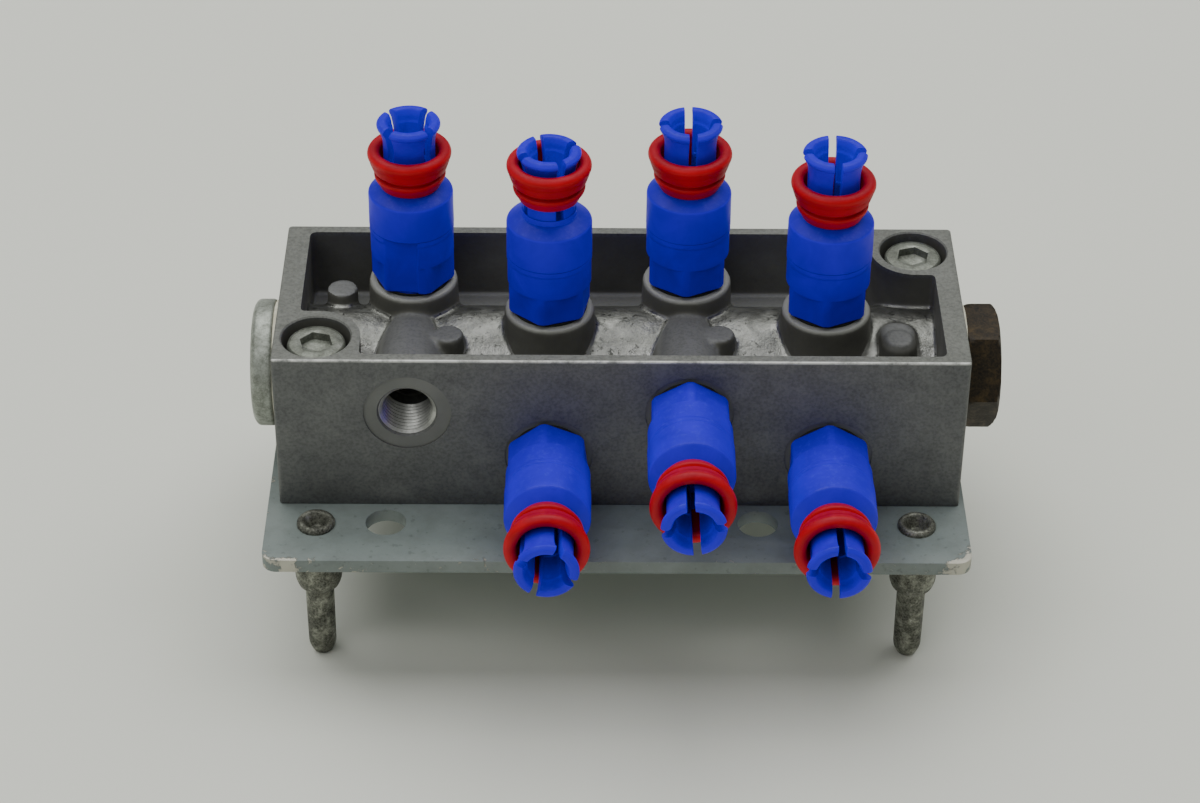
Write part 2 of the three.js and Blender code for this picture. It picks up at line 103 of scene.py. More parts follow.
# ------------------------ mesh helpers
def object_from_bmesh(name, bm):
    mesh = bpy.data.meshes.new(name)
    bmesh.ops.recalc_face_normals(bm, faces=bm.faces)
    bm.to_mesh(mesh)
    bm.free()
    made = bpy.data.objects.new(name, mesh)
    bpy.context.scene.collection.objects.link(made)
    return made


def object_from_data(name, vertices, faces):
    bm = bmesh.new()
    corners = [bm.verts.new(v) for v in vertices]
    for face in faces:
        bm.faces.new([corners[i] for i in face])
    bmesh.ops.remove_doubles(bm, verts=bm.verts, dist=1e-5)
    return object_from_bmesh(name, bm)


def filleted(points, steps=4):
    """Points (radius, z, fillet) as a smooth outline: each corner with a fillet becomes an arc."""
    outline = []
    count = len(points)
    for i, (radius, z, fillet) in enumerate(points):
        here = Vector((radius, z))
        if not fillet:
            outline.append((radius, z))
            continue
        before = Vector(points[i - 1][:2]) - here
        after = Vector(points[(i + 1) % count][:2]) - here
        reach = min(fillet, before.length * 0.49, after.length * 0.49)
        start = here + before.normalized() * reach
        end = here + after.normalized() * reach
        for k in range(steps + 1):
            t = k / steps
            point = start * (1 - t) ** 2 + here * 2 * t * (1 - t) + end * t ** 2
            outline.append((point.x, point.y))
    return outline


def arc_points(r, z, radius, start, end, steps):
    points = []
    for k in range(steps + 1):
        angle = math.radians(start + (end - start) * k / steps)
        points.append((r + radius * math.cos(angle), z + radius * math.sin(angle)))
    return points


def lofted(name, rows, segments=96, closed=False):
    """A solid of sections stacked along Z.

    A row is (radius, z), and a radius may be a function of the angle.
    """
    angles = [2 * math.pi * k / segments for k in range(segments)]
    vertices = []
    for radius, z in rows:
        for angle in angles:
            r = radius(angle) if callable(radius) else radius
            vertices.append((r * math.cos(angle), r * math.sin(angle), z))
    faces = []
    count = len(rows)
    for i in range(count if closed else count - 1):
        low = i * segments
        high = ((i + 1) % count) * segments
        for k in range(segments):
            following = (k + 1) % segments
            faces.append((low + k, low + following, high + following, high + k))
    if not closed:
        faces.append(tuple(range(segments)))
        faces.append(tuple((count - 1) * segments + k for k in range(segments)))
    return object_from_data(name, vertices, faces)


def hex_radius(distance, turn=0.0, rounding=0.0):
    """Radius of a hexagon at an angle, its first flat's middle at turn, its corners cut back by rounding."""

    def radius(angle):
        offset = (angle - turn + math.pi / 6) % (math.pi / 3) - math.pi / 6
        return min(distance / math.cos(offset), distance / math.cos(math.pi / 6) - rounding)

    return radius


def box_object(name, low, high):
    bm = bmesh.new()
    bmesh.ops.create_cube(bm, size=1.0)
    size = Vector(high) - Vector(low)
    middle = (Vector(high) + Vector(low)) / 2
    for vertex in bm.verts:
        vertex.co = Vector(a * b for a, b in zip(vertex.co, size)) + middle
    return object_from_bmesh(name, bm)


def prism(name, low_end, high_end):
    """A solid between two outlines with the same number of points."""
    count = len(low_end)
    faces = [tuple(range(count)), tuple(range(count, 2 * count))]
    faces += [(k, (k + 1) % count, count + (k + 1) % count, count + k) for k in range(count)]
    return object_from_data(name, low_end + high_end, faces)


def rounded_slab(name, low, high, corner, steps=8):
    """A slab with rounded upright corners."""
    (x0, y0, z0), (x1, y1, z1) = low, high
    centres = ((x1 - corner, y1 - corner, 0), (x0 + corner, y1 - corner, 90),
               (x0 + corner, y0 + corner, 180), (x1 - corner, y0 + corner, 270))
    outline = []
    for x, y, start in centres:
        outline += arc_points(x, y, corner, start, start + 90, steps)
    return prism(name, [(x, y, z0) for x, y in outline], [(x, y, z1) for x, y in outline])


def prism_along_x(name, section, x0, x1):
    return prism(name, [(x0, y, z) for y, z in section], [(x1, y, z) for y, z in section])


def baked(obj):
    """Applies every modifier of the object."""
    graph = bpy.context.evaluated_depsgraph_get()
    mesh = bpy.data.meshes.new_from_object(obj.evaluated_get(graph))
    obj.modifiers.clear()
    old = obj.data
    obj.data = mesh
    bpy.data.meshes.remove(old)
    return obj


def removed(obj):
    mesh = obj.data
    bpy.data.objects.remove(obj)
    bpy.data.meshes.remove(mesh)


def joined(name, parts):
    """One object that holds the meshes of all the parts as loose shells."""
    bm = bmesh.new()
    for part in parts:
        part.data.transform(part.matrix_world)
        part.matrix_world = Matrix.Identity(4)
        bm.from_mesh(part.data)
        removed(part)
    return object_from_bmesh(name, bm)


def combined(target, tool, operation):
    modifier = target.modifiers.new("combine", "BOOLEAN")
    modifier.operation = operation
    modifier.solver = "MANIFOLD"
    modifier.object = tool
    baked(target)
    removed(tool)
    return target


def cut(target, tools):
    """Subtracts each tool from the target."""
    for tool in tools:
        combined(target, tool, "DIFFERENCE")
    return target


def kept(target, limit):
    """Keeps only what of the target lies inside the limit."""
    return combined(target, limit, "INTERSECT")


def moved(obj, matrix):
    obj.data.transform(matrix)
    return obj


def at(x, y, z):
    return Matrix.Translation((x, y, z))


def shaded(obj, angle=35.0):
    obj.data.shade_smooth()
    obj.data.set_sharp_from_angle(angle=math.radians(angle))
    return obj


def bevelled(obj, width, segments=2, angle=35.0):
    modifier = obj.modifiers.new("bevel", "BEVEL")
    modifier.width = width
    modifier.segments = segments
    modifier.limit_method = "ANGLE"
    modifier.angle_limit = math.radians(angle)
    return baked(obj)


# ------------------------ material helpers
class Surface:
    """Builds one procedural material around a Principled shader. Lengths in the patterns are metres."""

    def __init__(self, name, metallic=0.0, roughness=0.5, specular=0.5):
        self.material = bpy.data.materials.new(name)
        self.material.use_nodes = True
        self.tree = self.material.node_tree
        self.shader = self.tree.nodes["Principled BSDF"]
        self.shader.inputs["Metallic"].default_value = metallic
        self.shader.inputs["Roughness"].default_value = roughness
        self.shader.inputs["Specular IOR Level"].default_value = specular
        self.place = self.tree.nodes.new("ShaderNodeTexCoord").outputs["Object"]

    def put(self, value, socket):
        if isinstance(value, bpy.types.NodeSocket):
            self.tree.links.new(value, socket)
        else:
            socket.default_value = value

    def set(self, name, value):
        self.put(value, self.shader.inputs[name])

    def noise(self, size, detail, roughness, distortion=0.0):
        node = self.tree.nodes.new("ShaderNodeTexNoise")
        self.put(self.place, node.inputs["Vector"])
        node.inputs["Scale"].default_value = 1.0 / size
        node.inputs["Detail"].default_value = detail
        node.inputs["Roughness"].default_value = roughness
        node.inputs["Distortion"].default_value = distortion
        return node.outputs["Fac"]

    def ramp(self, factor, stops):
        """Stops are (position, colour), the colour a triple or a grey."""
        node = self.tree.nodes.new("ShaderNodeValToRGB")
        self.put(factor, node.inputs["Fac"])
        elements = node.color_ramp.elements
        for position, colour in stops[2:]:
            elements.new(position)
        for element, (position, colour) in zip(elements, stops):
            element.position = position
            element.color = (*colour, 1.0) if isinstance(colour, tuple) else (colour, colour, colour, 1.0)
        return node.outputs["Color"]

    def maths(self, operation, a, b=0.0, clamp=False):
        node = self.tree.nodes.new("ShaderNodeMath")
        node.operation = operation
        node.use_clamp = clamp
        self.put(a, node.inputs[0])
        self.put(b, node.inputs[1])
        return node.outputs["Value"]

    def span(self, value, low, high):
        """0 below low and 1 above high, smooth between. low may be above high."""
        node = self.tree.nodes.new("ShaderNodeMapRange")
        node.interpolation_type = "SMOOTHSTEP"
        self.put(value, node.inputs["Value"])
        lo, hi, start, end = (low, high, 0.0, 1.0) if low < high else (high, low, 1.0, 0.0)
        node.inputs["From Min"].default_value = lo
        node.inputs["From Max"].default_value = hi
        node.inputs["To Min"].default_value = start
        node.inputs["To Max"].default_value = end
        return node.outputs["Result"]

    def mix(self, factor, a, b):
        node = self.tree.nodes.new("ShaderNodeMix")
        node.data_type = "RGBA"
        self.put(factor, node.inputs["Factor"])
        for value, name in ((a, "A"), (b, "B")):
            socket = next(s for s in node.inputs if s.name == name and s.type == "RGBA")
            self.put((*value, 1.0) if isinstance(value, tuple) else value, socket)
        return next(s for s in node.outputs if s.type == "RGBA")

    def axes(self, socket=None):
        node = self.tree.nodes.new("ShaderNodeSeparateXYZ")
        self.put(socket or self.place, node.inputs["Vector"])
        return node.outputs["X"], node.outputs["Y"], node.outputs["Z"]

    def facing(self):
        """The three parts of the surface's own direction, in the object's frame."""
        node = self.tree.nodes.new("ShaderNodeTexCoord")
        return self.axes(node.outputs["Normal"])

    def bump(self, height, distance, strength=1.0, below=None):
        node = self.tree.nodes.new("ShaderNodeBump")
        node.inputs["Strength"].default_value = strength
        node.inputs["Distance"].default_value = distance
        self.put(height, node.inputs["Height"])
        if below is not None:
            self.put(below, node.inputs["Normal"])
        return node.outputs["Normal"]


def srgb(red, green, blue):
    """Linear colour of an sRGB colour given from 0 to 255."""
    parts = (red / 255, green / 255, blue / 255)
    return tuple(((c + 0.055) / 1.055) ** 2.4 if c > 10 / 255 else c / 12.92 for c in parts)


class CastSkin(Surface):
    """Grey cast skin, dull on the front, bright over the gallery with a near-white painted highlight low on
    its front side, painted shade on the upright tray walls, painted highlights on the fillets at the boss
    feet, boss top edges partly worn and partly painted highlight, and worn along the top front edge with a
    painted highlight there too.
    """

    def __init__(self, low, high):
        super().__init__("cast_aluminium")
        self.low, self.high = low, high
        _, self.y, self.z = self.axes()
        _, self.normal_y, self.normal_z = self.facing()
        self.cloud = self.noise(0.012, 5.0, 0.6)
        self.grain = self.noise(0.0006, 3.0, 0.7)
        self.middle_y = (low.y + high.y) / 2
        self.in_tray = self.tray_mask()
        self.from_axis_y = self.maths("SUBTRACT", self.y, self.middle_y + GALLERY["y"] * MM)
        self.hump = self.hump_mask()

    def both(self, *masks):
        result = masks[0]
        for mask in masks[1:]:
            result = self.maths("MULTIPLY", result, mask)
        return result

    def tray_mask(self):
        below_rim = self.span(self.z, self.high.z - 0.5 * MM, self.high.z - 1.0 * MM)
        from_middle = self.maths("ABSOLUTE", self.maths("SUBTRACT", self.y, self.middle_y))
        return self.both(below_rim, self.span(from_middle, 18.9 * MM, 18.4 * MM))

    def hump_mask(self):
        """The rounded cover of the gallery, by its distance from the gallery's axis."""
        from_axis_z = self.maths("SUBTRACT", self.z, self.low.z + GALLERY["z"] * MM)
        squares = self.maths("ADD", self.both(self.from_axis_y, self.from_axis_y),
                             self.both(from_axis_z, from_axis_z))
        reach = self.maths("SQRT", squares)
        return self.both(self.span(reach, 10.9 * MM, 10.5 * MM), self.in_tray)

    def plain_skin(self):
        tone = self.ramp(self.cloud, [(0.3, srgb(84, 86, 83)), (0.55, srgb(96, 98, 95)),
                                      (0.75, srgb(106, 108, 104))])
        return self.mix(0.3, tone, self.ramp(self.grain, [(0.34, 0.1), (0.55, 0.22)]))

    def rim(self, base):
        """Sanded top face."""
        tone = self.mix(0.35, self.ramp(self.cloud, [(0.3, srgb(98, 100, 94)), (0.7, srgb(114, 116, 110))]),
                        self.ramp(self.grain, [(0.35, srgb(74, 76, 71)), (0.6, srgb(132, 134, 128))]))
        return self.mix(self.span(self.z, self.high.z - 0.35 * MM, self.high.z - 0.05 * MM), base, tone)

    def tray_walls_painted_shade(self, base):
        # Painted shade: upright faces inside the tray get their own tone, chosen by the way they face.
        shade = self.ramp(self.cloud, [(0.3, srgb(84, 84, 78)), (0.7, srgb(108, 108, 101))])
        return self.mix(self.both(self.in_tray, self.span(self.normal_z, 0.8, 0.45)), base, shade)

    def gallery_cover(self, base):
        """Rubbed and pitted, with a near-white painted highlight low on the front side."""
        rubbed = self.ramp(self.noise(0.004, 6.0, 0.65, 0.6),
                           [(0.36, srgb(90, 91, 86)), (0.52, srgb(122, 123, 117)),
                            (0.68, srgb(158, 159, 152))])
        # Painted highlight: low on the front side the cover is mixed most of the way to near white.
        low_front_highlight = self.span(self.from_axis_y, -5.0 * MM, -8.5 * MM)
        rubbed = self.mix(self.maths("MULTIPLY", low_front_highlight, 0.8), rubbed, srgb(250, 250, 246))
        pits = self.ramp(self.noise(0.0011, 5.0, 0.7, 0.3), [(0.36, 0.0), (0.44, 1.0)])
        rubbed = self.mix(self.maths("SUBTRACT", 1.0, pits), rubbed, srgb(44, 44, 40))
        return self.mix(self.maths("MULTIPLY", self.hump, 0.9), base, rubbed)

    def bosses(self, base):
        """Painted highlights on the sloping fillets at the feet of the bosses, and bright edges round their
        tops that are partly wear and partly painted highlight.
        """
        # Painted highlight on the sloping fillets round the boss feet.
        foot = self.both(self.in_tray, self.span(self.z, self.low.z + 24.6 * MM, self.low.z + 23.4 * MM),
                         self.span(self.normal_z, 0.3, 0.6))
        base = self.mix(self.maths("MULTIPLY", foot, 0.35), base, srgb(150, 152, 146))
        # Bright edges round the boss tops: partly wear, partly painted highlight.
        edge = self.both(self.in_tray, self.span(self.z, self.low.z + 26.9 * MM, self.low.z + 27.5 * MM),
                         self.span(self.normal_z, 0.15, 0.5))
        return self.mix(self.maths("MULTIPLY", edge, 0.5), base, srgb(176, 177, 168))

    def front(self, base):
        """Stained front face and the clean spot faces round its ports."""
        forward = self.span(self.normal_y, -0.75, -0.92)
        outside = self.both(forward, self.span(self.y, self.low.y + 0.5 * MM, self.low.y + 0.2 * MM))
        stain = self.ramp(self.noise(0.005, 6.0, 0.62, 0.6),
                          [(0.34, srgb(86, 88, 88)), (0.55, srgb(99, 101, 100)), (0.72, srgb(110, 112, 110))])
        speck = self.ramp(self.grain, [(0.36, srgb(78, 80, 79)), (0.58, srgb(126, 128, 126))])
        stain = self.mix(0.3, stain, speck)
        base = self.mix(outside, base, stain)
        spot = self.both(forward, self.span(self.y, self.low.y + 0.2 * MM, self.low.y + 0.27 * MM),
                         self.span(self.y, self.low.y + 0.9 * MM, self.low.y + 0.7 * MM))
        clean = self.ramp(self.cloud, [(0.3, srgb(104, 106, 103)), (0.7, srgb(120, 122, 118))])
        return self.mix(spot, base, clean)

    def worn_edge_and_highlight(self, base):
        """Bright metal along the top front edge, in broken stretches: partly wear, partly painted highlight.
        """
        edge = self.both(self.span(self.y, self.low.y + 0.5 * MM, self.low.y + 0.15 * MM),
                         self.span(self.z, self.high.z - 0.5 * MM, self.high.z - 0.15 * MM))
        broken = self.ramp(self.noise(0.003, 5.0, 0.7), [(0.36, 0.25), (0.55, 1.0)])
        # The bright edge is partly wear and partly painted highlight.
        return self.mix(self.maths("MULTIPLY", edge, broken, clamp=True), base, srgb(214, 215, 210))


def cast_aluminium(block_low, block_high):
    s = CastSkin(block_low, block_high)
    base = s.tray_walls_painted_shade(s.rim(s.plain_skin()))
    base = s.front(s.bosses(s.gallery_cover(base)))
    s.set("Base Color", s.worn_edge_and_highlight(base))
    s.set("Roughness", s.mix(s.maths("MULTIPLY", s.hump, 0.9), s.ramp(s.cloud, [(0.3, 0.66), (0.7, 0.54)]),
                             s.ramp(s.cloud, [(0.3, 0.4), (0.7, 0.3)])))
    s.set("Metallic", s.maths("ADD", 0.35, s.maths("MULTIPLY", s.hump, 0.5)))
    fine = s.bump(s.grain, 0.00005, 0.5)
    coarse = s.bump(s.noise(0.0026, 4.0, 0.6), 0.00014, 0.35, fine)
    s.set("Normal", s.bump(s.both(s.noise(0.0016, 5.0, 0.65), s.hump), 0.0003, 0.6, coarse))
    return s.material


def grey_paint(plate_low, plate_high):
    """Old grey-green enamel with fine specks and bare metal where the edges are chipped."""
    s = Surface("grey_paint", metallic=0.0, specular=0.45)
    x, y, z = s.axes()
    tone = s.ramp(s.noise(0.02, 4.0, 0.55), [(0.35, srgb(112, 123, 120)), (0.7, srgb(126, 136, 132))])
    speck = s.ramp(s.noise(0.0011, 2.0, 0.5), [(0.28, srgb(60, 64, 62)), (0.36, srgb(128, 137, 133))])
    base = s.mix(0.28, tone, speck)
    grime = s.ramp(s.noise(0.0045, 6.0, 0.7), [(0.42, 0.0), (0.7, 1.0)])
    base = s.mix(s.maths("MULTIPLY", grime, 0.25), base, srgb(66, 68, 62))
    near_front = s.span(y, plate_low.y + 1.6 * MM, plate_low.y + 0.2 * MM)
    near_left = s.span(x, plate_low.x + 1.6 * MM, plate_low.x + 0.2 * MM)
    near_right = s.span(x, plate_high.x - 1.6 * MM, plate_high.x - 0.2 * MM)
    edge = s.maths("MAXIMUM", near_front, s.maths("MAXIMUM", near_left, near_right))
    corner_right = s.maths("MULTIPLY", s.span(x, plate_high.x - 7 * MM, plate_high.x - 1 * MM),
                           s.span(y, plate_low.y + 7 * MM, plate_low.y + 1 * MM))
    corner_left = s.maths("MULTIPLY", s.span(x, plate_low.x + 14 * MM, plate_low.x + 2 * MM),
                          s.span(y, plate_low.y + 4 * MM, plate_low.y + 0.5 * MM))
    chips = s.noise(0.0028, 6.0, 0.72, 0.6)
    reach = s.maths("ADD", s.maths("MULTIPLY", edge, 0.12), s.maths("MULTIPLY", corner_right, 0.24))
    reach = s.maths("ADD", reach, s.maths("MULTIPLY", corner_left, 0.12))
    bare = s.span(s.maths("ADD", chips, reach), 0.72, 0.76)
    base = s.mix(bare, base, srgb(178, 176, 164))
    s.set("Base Color", base)
    s.set("Metallic", s.maths("MULTIPLY", bare, 0.8))
    s.set("Roughness", s.ramp(s.noise(0.006, 4.0, 0.6), [(0.35, 0.42), (0.7, 0.58)]))
    peel = s.bump(s.noise(0.0018, 3.0, 0.5), 0.00008, 0.5)
    s.set("Normal", s.bump(s.maths("MULTIPLY", bare, -1.0), 0.00012, 0.8, peel))
    return s.material


# The three below take their colours as sRGB triples.
def moulded_plastic(name, deep, light, dusty):
    """Injection-moulded nylon: nearly even colour, faint flow clouds, painted shade that darkens faces turned
    upwards, fine grain and a little dust on top.
    """
    s = Surface(name, roughness=0.42, specular=0.22)
    normal_x, normal_y, normal_z = s.facing()
    flow = s.ramp(s.noise(0.006, 4.0, 0.55, 0.5), [(0.35, srgb(*deep)), (0.7, srgb(*light))])
    dust = s.ramp(s.noise(0.0009, 5.0, 0.7), [(0.5, 0.0), (0.68, 1.0)])
    settled = s.maths("MULTIPLY", dust, s.span(normal_z, 0.3, 0.9))
    # Painted shade: faces turned upwards are darkened by up to 30 per cent.
    flow = s.mix(s.maths("MULTIPLY", s.span(normal_z, 0.45, 0.9), 0.3), flow, (0.0, 0.0, 0.02))
    s.set("Base Color", s.mix(s.maths("MULTIPLY", settled, 0.16), flow, srgb(*dusty)))
    s.set("Roughness", s.ramp(s.noise(0.0035, 4.0, 0.6), [(0.3, 0.42), (0.7, 0.56)]))
    grain = s.bump(s.noise(0.00035, 2.0, 0.5), 0.00001, 0.5)
    s.set("Normal", s.bump(s.noise(0.0032, 3.0, 0.5), 0.00005, 0.35, grain))
    return s.material


def aged_metal(name, dark, mid, bright, metallic, rough, patch=0.0022):
    """Plated or bare metal with patchy stain, small pits and brighter rubbed spots."""
    s = Surface(name, metallic=metallic)
    dark, mid, bright = srgb(*dark), srgb(*mid), srgb(*bright)
    patches = s.noise(patch, 5.0, 0.65, 0.4)
    tone = s.ramp(patches, [(0.32, dark), (0.5, mid), (0.68, bright)])
    fine = s.ramp(s.noise(patch / 6, 3.0, 0.7), [(0.38, dark), (0.62, bright)])
    s.set("Base Color", s.mix(0.3, tone, fine))
    s.set("Roughness", s.ramp(patches, [(0.3, min(1.0, rough + 0.18)), (0.7, rough)]))
    pits = s.bump(s.noise(patch / 5, 4.0, 0.7), 0.00004, 0.6)
    s.set("Normal", s.bump(patches, 0.00008, 0.4, pits))
    return s.material


def soft_seal(name, deep, light, rough):
    """Rubber or nylon sealing ring, mottled with oil."""
    s = Surface(name, roughness=rough, specular=0.35)
    s.set("Base Color", s.ramp(s.noise(0.003, 5.0, 0.65, 0.4), [(0.35, srgb(*deep)), (0.65, srgb(*light))]))
    s.set("Roughness", s.ramp(s.noise(0.002, 3.0, 0.6), [(0.3, rough), (0.7, min(1.0, rough + 0.15))]))
    s.set("Normal", s.bump(s.noise(0.0006, 3.0, 0.6), 0.00003, 0.5))
    return s.material


def studio_floor():
    s = Surface("studio_floor", roughness=0.85, specular=0.2)
    tone = s.ramp(s.noise(0.25, 2.0, 0.4), [(0.3, srgb(222, 224, 213)), (0.7, srgb(226, 228, 218))])
    s.set("Base Color", tone)
    s.set("Roughness", s.ramp(s.noise(0.05, 2.0, 0.5), [(0.3, 0.82), (0.7, 0.9)]))
    return s.material


# ------------------------ the block
class Block:
    """The cast block, made in millimetres from the middle of its underside."""

    def __init__(self):
        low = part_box("manifold_block")[0]
        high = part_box("block_rim")[1]
        self.low, self.high = low, high
        self.origin = Vector(((low.x + high.x) / 2, (low.y + high.y) / 2, low.z))

    def local(self, point):
        return (Vector(point) - self.origin) / MM

    def to_world(self):
        return Matrix.Translation(self.origin) @ Matrix.Scale(MM, 4)

    def top_ports(self):
        return [seat_of(f"top_{k}") for k in (1, 2, 3, 4)]

    def front_ports(self):
        """The three filled ports, and the empty one: above the first top port and as high as front_3."""
        filled = [seat_of(f"front_{k}") for k in (2, 3, 4)]
        top_1 = seat_of("top_1")
        empty = Vector((top_1.x, filled[1].y, filled[1].z))
        return [empty, *filled]


def seat_of(label):
    """The middle of a fitting's port face, in the row frame, from its base seal."""
    low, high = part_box(f"{label}_base_seal")
    middle = (low + high) / 2
    if label.startswith("top"):
        return Vector((middle.x, middle.y, low.z))
    return Vector((middle.x, high.y, middle.z))


def tray_section():
    """Section of the open tray over the ledge, the gallery hump and the front gutter."""
    back = BLOCK["depth"] / 2 - POCKET["side_wall"]
    rise = math.degrees(math.asin((POCKET["ledge"] - GALLERY["z"]) / GALLERY["hump"]))
    hump = arc_points(GALLERY["y"], GALLERY["z"], GALLERY["hump"], 180 - rise, rise, 28)
    top = BLOCK["height"] + 2 * SPARE
    return [(-back, POCKET["ledge"]), *hump, (back, POCKET["ledge"]), (back, top), (-back, top)]


def tray_tool():
    half = BLOCK["length"] / 2 - POCKET["end_wall"]
    side = BLOCK["depth"] / 2 - POCKET["side_wall"]
    tray = prism_along_x("tray", tray_section(), -BLOCK["length"] / 2, BLOCK["length"] / 2)
    above = BLOCK["height"] + 3 * SPARE
    limit = rounded_slab("limit", (-half, -side, 1), (half, side, above), POCKET["corner"])
    return kept(tray, limit)


def top_boss(x, y):
    boss = TOP_BOSS
    outline = filleted([
        (0.001, POCKET["ledge"] - 4, 0), (boss["foot"], POCKET["ledge"] - 4, 0),
        (boss["radius"], boss["height"], boss["edge"]), (0.001, boss["height"], 0),
    ])
    return moved(lofted("boss", outline, 64), at(x, y, 0))


def upright_to_front():
    """Turns +Z to -Y."""
    return Matrix.Rotation(math.pi / 2, 4, "X")


def front_rib(x, z, reach):
    rib = FRONT_BOSS
    outline = [(0.001, -reach), (rib["inner"], -reach), (rib["outer"], -0.9), (0.001, -0.9)]
    return moved(lofted("rib", outline, 64), at(x, -BLOCK["depth"] / 2, z) @ upright_to_front())


def screw_boss(side):
    boss = SCREW_BOSS
    end = BLOCK["length"] / 2
    wall = BLOCK["depth"] / 2
    top = BLOCK["height"] + SPARE
    column = lofted("column", [(0.001, 1), (boss["radius"], 1), (boss["radius"], top), (0.001, top)], 64)
    parts = [
        moved(column, at(-boss["x"], -boss["y"], 0)),
        box_object("corner", (-end, -wall, 1), (-boss["x"], boss["radius"] - boss["y"], top)),
        box_object("web", (-end, -wall, 1), (boss["radius"] - boss["x"], -boss["y"], top)),
    ]
    made = joined("screw_boss", parts)
    if side > 0:
        moved(made, Matrix.Rotation(math.pi, 4, "Z"))
    return made


def port_tool(matrix):
    port = PORT
    outline = [
        (0.001, -port["depth"]), (port["tap"], -port["depth"]),
        (port["tap"], -port["mouth_depth"] - port["spot_depth"]), (port["mouth"], -port["spot_depth"]),
        (port["spot"], -port["spot_depth"]), (port["spot"] + 0.02, 2.0), (0.001, 2.0),
    ]
    return moved(lofted("port", outline, 96), matrix)


def top_port_tool(x, y):
    port = PORT
    depth = TOP_BOSS["height"] - GALLERY["z"]
    outline = [(0.001, -depth), (port["tap"], -depth), (port["tap"], -port["mouth_depth"]),
               (port["mouth"], 0.0), (port["mouth"] + 0.5, 1.0), (0.001, 1.0)]
    return moved(lofted("top_port", outline, 64), at(x, y, TOP_BOSS["height"]))


def gallery_tool():
    g = GALLERY
    half = BLOCK["length"] / 2
    inner = half - g["end_depth"]
    outline = [(0.001, -half - 1), (g["end"], -half - 1), (g["end"], -inner), (g["bore"], -inner),
               (g["bore"], inner), (g["end"], inner), (g["end"], half + 1), (0.001, half + 1)]
    return moved(lofted("gallery", outline, 64), at(0, g["y"], g["z"]) @ Matrix.Rotation(math.pi / 2, 4, "Y"))


def screw_tools(side):
    boss = SCREW_BOSS
    place = at(side * boss["x"], side * boss["y"], BLOCK["height"])
    deep = boss["depth"]
    outline = [(0.001, -BLOCK["height"] - 1), (boss["hole"], -BLOCK["height"] - 1), (boss["hole"], -deep),
               (boss["counterbore"], -deep), (boss["counterbore"], -0.25), (boss["counterbore"] + 0.3, 0.05),
               (boss["counterbore"] + 0.3, 1), (0.001, 1)]
    return moved(lofted("counterbore", outline, 96), place)


def pad(x, y, top, radius):
    outline = filleted([(0.001, POCKET["ledge"] - 6, 0), (radius + 0.35, POCKET["ledge"] - 6, 0),
                        (radius, top, 0.2), (0.001, top, 0)])
    return moved(lofted("pad", outline, 48), at(x, y, 0))


def rear_rib():
    """The arched rib behind the right-hand pad."""
    rib = REAR_RIB
    outline = filleted([(0.001, POCKET["ledge"] - 6, 0), (rib["radius"] + 0.35, POCKET["ledge"] - 6, 0),
                        (rib["radius"], rib["top"], 1.2), (0.001, rib["top"], 0)])
    steps = 5
    places = [rib["front"] + (rib["back"] - rib["front"]) * k / steps for k in range(steps + 1)]
    return [moved(lofted("rib", outline, 48), at(rib["x"], y, 0)) for y in places]


def outer_limit(half, side):
    """The machined outside of the block, its edges barely broken."""
    limit = rounded_slab("outside", (-half, -side, 0), (half, side, BLOCK["height"]), 0.7, 6)
    return bevelled(limit, 0.22, 3, 40)


def make_block(block, material):
    half = BLOCK["length"] / 2
    side = BLOCK["depth"] / 2
    shell = box_object("shell", (-half - SPARE, -side - SPARE, -SPARE),
                       (half + SPARE, side + SPARE, BLOCK["height"] + SPARE))
    cut(shell, [tray_tool()])
    parts = [shell, screw_boss(-1), screw_boss(1)]
    ports = [block.local(p) for p in block.top_ports()]
    parts += [top_boss(p.x, p.y) for p in ports]
    fronts = [block.local(p) for p in block.front_ports()]
    rib_reach = side + max(p.y for p in ports) - 4.0
    parts += [front_rib(p.x, p.z, rib_reach) for p in (fronts[0], fronts[2])]
    parts += [pad(*place) for place in PADS] + rear_rib()
    cast = joined("block", parts)
    remesh = cast.modifiers.new("skin", "REMESH")
    remesh.mode = "VOXEL"
    remesh.voxel_size = VOXEL
    smooth = cast.modifiers.new("fillets", "SMOOTH")
    smooth.factor = 0.5
    smooth.iterations = 4
    thin = cast.modifiers.new("thin", "DECIMATE")
    thin.ratio = 0.3
    baked(cast)
    kept(cast, outer_limit(half, side))
    tools = [screw_tools(-1), screw_tools(1), gallery_tool()]
    tools += [top_port_tool(p.x, p.y) for p in ports]
    tools += [port_tool(at(p.x, -side, p.z) @ upright_to_front()) for p in fronts]
    cut(cast, tools)
    shaded(moved(cast, block.to_world()), 40)
    return finished(cast, "block_casting", ("manifold_block", "block_rim", "block_bosses"),
                    material)


def helix_radius(crest, depth, z):
    """Radius of a sixty-degree thread at a height, as a function of the angle."""

    def radius(angle):
        turn = (z / THREAD_PITCH - angle / (2 * math.pi)) % 1.0
        return crest + depth * (1 - abs(2 * turn - 1))

    return radius


def make_port_thread(block, material):
    """The thread seen in the empty port: a thin liner with a grooved inner face."""
    p = block.local(block.front_ports()[0])
    turns = 9
    top = -0.75
    rows = [(PORT["tap"] + 0.02, top - turns * THREAD_PITCH - 0.1), (PORT["tap"] + 0.02, top)]
    for k in range(turns):
        z = top - k * THREAD_PITCH
        rows += [(4.84, z), (4.36, z - THREAD_PITCH * 0.44), (4.36, z - THREAD_PITCH * 0.56)]
    rows.append((4.84, top - turns * THREAD_PITCH))
    liner = lofted("thread", rows, 96, closed=True)
    moved(liner, at(p.x, -BLOCK["depth"] / 2, p.z) @ upright_to_front())
    shaded(moved(liner, block.to_world()), 25)
    return finished(liner, "open_port_thread", None, material)


